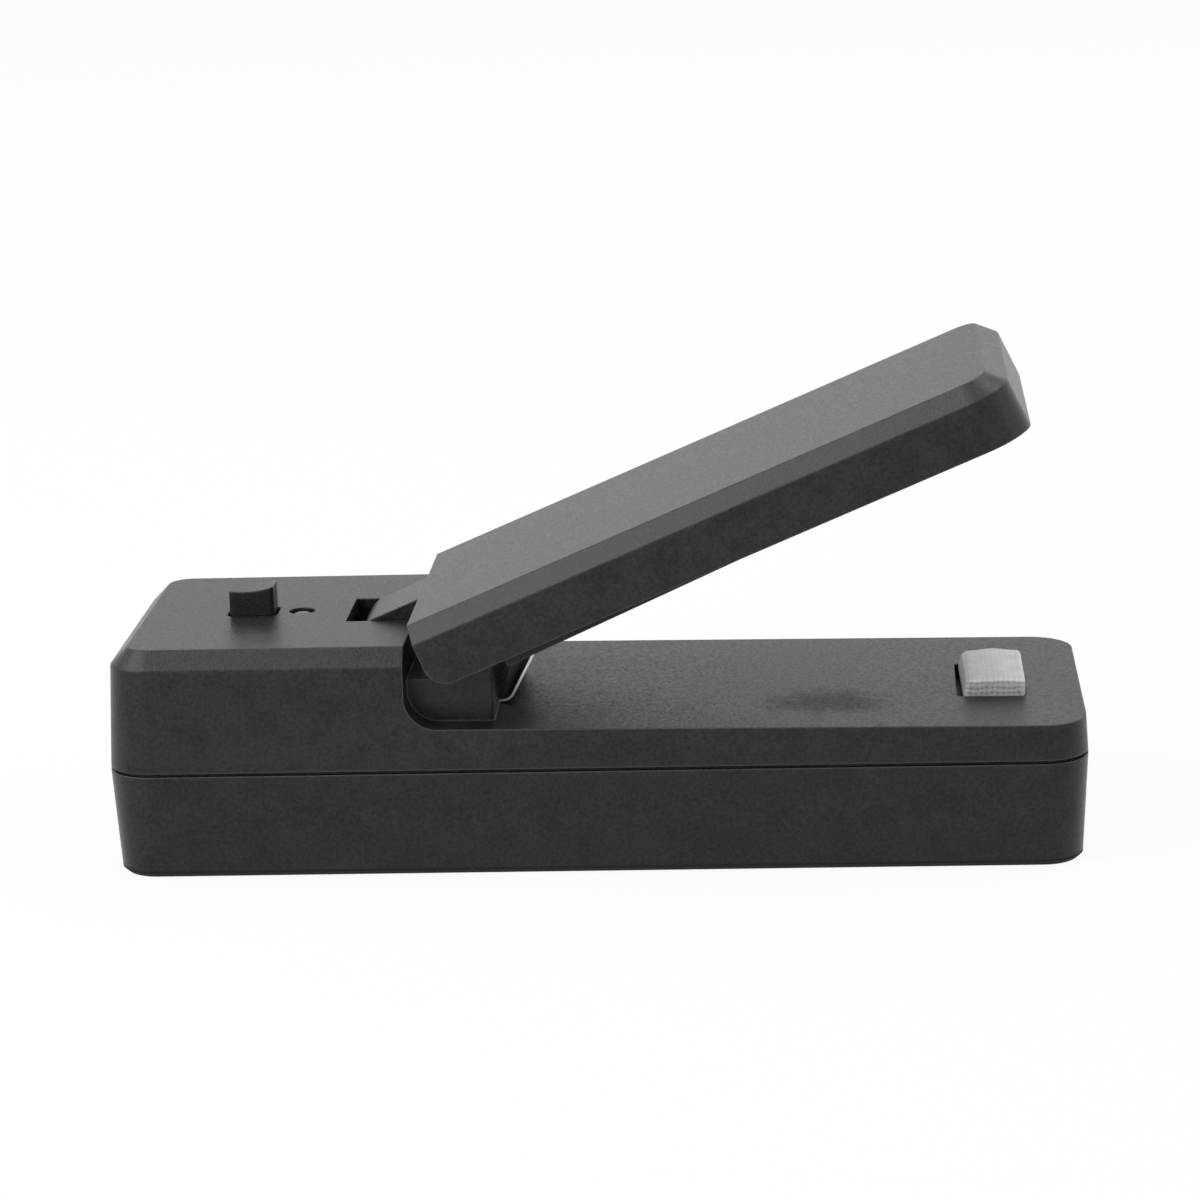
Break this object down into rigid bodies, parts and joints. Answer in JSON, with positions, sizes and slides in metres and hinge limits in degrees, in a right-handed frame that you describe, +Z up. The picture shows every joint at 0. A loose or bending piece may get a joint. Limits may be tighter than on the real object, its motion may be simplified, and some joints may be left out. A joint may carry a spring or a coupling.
{
  "type": "handheld bag sealer",
  "caption": "Flat handheld heat sealer for bags: a drafted two-shell body with a raised rear deck, button and lamp, a cloth-wrapped heating bar and a sprung hollow press arm.",
  "frame": {"origin": "under the middle of the body, on the surface that it stands on", "axes": "+X along the body to the heated end, +Y across the body, +Z up"},
  "size_m": [0.1, 0.0354, 0.0502],
  "materials": {
    "shell_plastic": "fine matte spark grain",
    "plate_plastic": "matte",
    "button_plastic": "satin",
    "bright_steel": "bright plated",
    "resistance_strip": "rolled",
    "spring_steel": "blued, with bright sheared edges",
    "heat_proof_block": "matte",
    "woven_cloth": "coated plain weave",
    "silicone_pad": "matte",
    "red_insulation": "satin",
    "black_insulation": "satin",
    "cell_foil": "satin foil",
    "foam": "open cell",
    "board_laminate": "lacquered",
    "chip_plastic": "matte",
    "plunger_plastic": "matte",
    "lamp": "clear resin",
    "lens": "diffused"
  },
  "bodies": {
    "base": {"lower_shell": "shell_plastic", "upper_shell": "shell_plastic", "hinge_pin": "bright_steel", "leaf_spring": "spring_steel", "heater_block": "heat_proof_block", "heater_ribbon": "resistance_strip", "heater_wrap": "woven_cloth", "heater_terminals": "bright_steel", "heater_leads": "red_insulation", "battery_cell": "cell_foil", "cell_pads": "foam", "battery_leads": "black_insulation", "circuit_board": "board_laminate", "board_chips": "chip_plastic", "board_screws": "bright_steel", "usb_socket": "bright_steel", "usb_tongue": "chip_plastic", "tact_switch": "chip_plastic", "led_chip": "lamp", "light_pipe": "lens", "body_screws": "bright_steel"},
    "arm": {"arm_cover": "shell_plastic", "arm_plate": "plate_plastic", "press_pad": "silicone_pad", "arm_screws": "bright_steel"},
    "button": {"power_button": "button_plastic", "tact_plunger": "plunger_plastic"}
  },
  "joints": [
    {"name": "arm_hinge", "type": "hinge", "parent": "base", "child": "arm", "pos_m": [-0.0224, 0, 0.0217], "axis": [0, 1, 0], "range_deg": [0, 22.7], "stiffness_Nm_per_rad": 0.1, "springref_deg": -17.19, "deforming": ["leaf_spring"]},
    {"name": "button_press", "type": "slide", "parent": "base", "child": "button", "axis": [0, 0, -1], "range_m": [0, 0.0008], "stiffness_N_per_m": 400}
  ]
}
